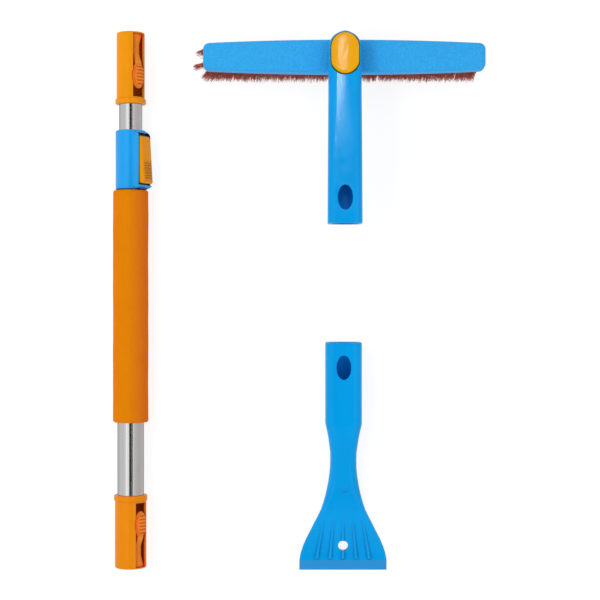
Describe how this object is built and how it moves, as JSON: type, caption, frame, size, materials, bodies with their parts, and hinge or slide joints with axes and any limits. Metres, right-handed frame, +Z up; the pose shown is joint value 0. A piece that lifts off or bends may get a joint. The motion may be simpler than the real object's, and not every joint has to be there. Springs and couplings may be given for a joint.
{
  "type": "snow brush and ice scraper kit",
  "caption": "Telescopic pole with foam grip, flip clamp and push-button ends, with a pivoting T snow brush head and an ice scraper that plug onto it.",
  "frame": {"origin": "on the ground under the middle of the kit's bounding box, with the pole, brush head and scraper lying side by side", "axes": "+Y along the pole towards its thin end, +X from the pole towards the brush head and scraper, +Z up"},
  "size_m": [0.4434, 0.6474, 0.0972],
  "materials": {
    "blue_plastic": "smooth satin moulded polypropylene",
    "blue_block": "finely textured moulded polypropylene",
    "orange_plastic": "smooth satin moulded plastic",
    "orange_foam": "closed-cell foam with a matte open skin",
    "aluminium_tube": "polished tube",
    "steel": "plain zinc-plated steel",
    "white_plastic": "moulded acetal",
    "black_rubber": "moulded rubber pad",
    "red_bristle": "frayed polymer bristle"
  },
  "bodies": {
    "outer_pole": {"outer_tube": "aluminium_tube", "foam_grip": "orange_foam", "guide_sleeve": "white_plastic", "clamp_housing": "blue_plastic", "lever_pin": "steel", "housing_rivet": "steel", "lower_connector": "orange_plastic", "lower_rivet": "steel"},
    "inner_pole": {"inner_tube": "aluminium_tube", "tail_bush": "white_plastic", "upper_connector": "orange_plastic", "upper_rivet": "steel"},
    "clamp_lever": {"clamp_lever": "orange_plastic"},
    "brake_shoe": {"brake_shoe": "black_rubber"},
    "upper_latch": {"upper_latch": "orange_plastic"},
    "lower_latch": {"lower_latch": "orange_plastic"},
    "brush_head": {"brush_neck": "blue_plastic", "pivot_spring": "steel"},
    "brush_block": {"brush_block": "blue_block", "retainer_ring": "steel", "ring_screw_1": "steel", "ring_screw_2": "steel", "ring_screw_3": "steel", "bristle_row_1": "red_bristle", "bristle_row_2": "red_bristle", "bristle_row_3": "red_bristle", "bristle_row_4": "red_bristle"},
    "pivot_button": {"pivot_cap": "orange_plastic", "lock_gear": "steel"},
    "scraper": {"scraper": "blue_plastic"}
  },
  "joints": [
    {"name": "telescope", "type": "slide", "parent": "outer_pole", "child": "inner_pole", "axis": [0, 1, 0], "range_m": [0, 0.3]},
    {"name": "clamp_flip", "type": "hinge", "parent": "outer_pole", "child": "clamp_lever", "pos_m": [-0.18436, 0.1965, 0.02975], "axis": [-0.4695, 0, 0.8829], "range_deg": [0, 100]},
    {"name": "shoe_release", "type": "slide", "parent": "outer_pole", "child": "brake_shoe", "axis": [0.8829, 0, 0.4695], "range_m": [0, 0.0004]},
    {"name": "upper_latch_press", "type": "hinge", "parent": "inner_pole", "child": "upper_latch", "pos_m": [-0.19119, 0.3199, 0.03005], "axis": [0.6947, 0, -0.7193], "range_deg": [0, 3.6], "stiffness_Nm_per_rad": 8},
    {"name": "lower_latch_press", "type": "hinge", "parent": "outer_pole", "child": "lower_latch", "pos_m": [-0.18874, -0.3153, 0.03029], "axis": [-0.6157, 0, 0.788], "range_deg": [0, 3.6], "stiffness_Nm_per_rad": 8},
    {"name": "head_lift", "type": "slide", "parent": "outer_pole", "child": "brush_head", "axis": [0, 0, 1], "range_m": [0, 0.15]},
    {"name": "block_pivot", "type": "hinge", "parent": "brush_head", "child": "brush_block", "pos_m": [0.05505, 0.2895, 0.0615], "axis": [0, 0, 1], "continuous": true},
    {"name": "pivot_press", "type": "slide", "parent": "brush_head", "child": "pivot_button", "axis": [0, 0, -1], "range_m": [0, 0.004], "stiffness_N_per_m": 2000, "springref_m": -0.001, "deforming": ["pivot_spring"]},
    {"name": "scraper_lift", "type": "slide", "parent": "outer_pole", "child": "scraper", "axis": [0, 0, 1], "range_m": [0, 0.12]}
  ],
  "couplings": [
    {"joint": "shoe_release", "follows": "clamp_flip", "m_per_rad": 0.000229}
  ]
}
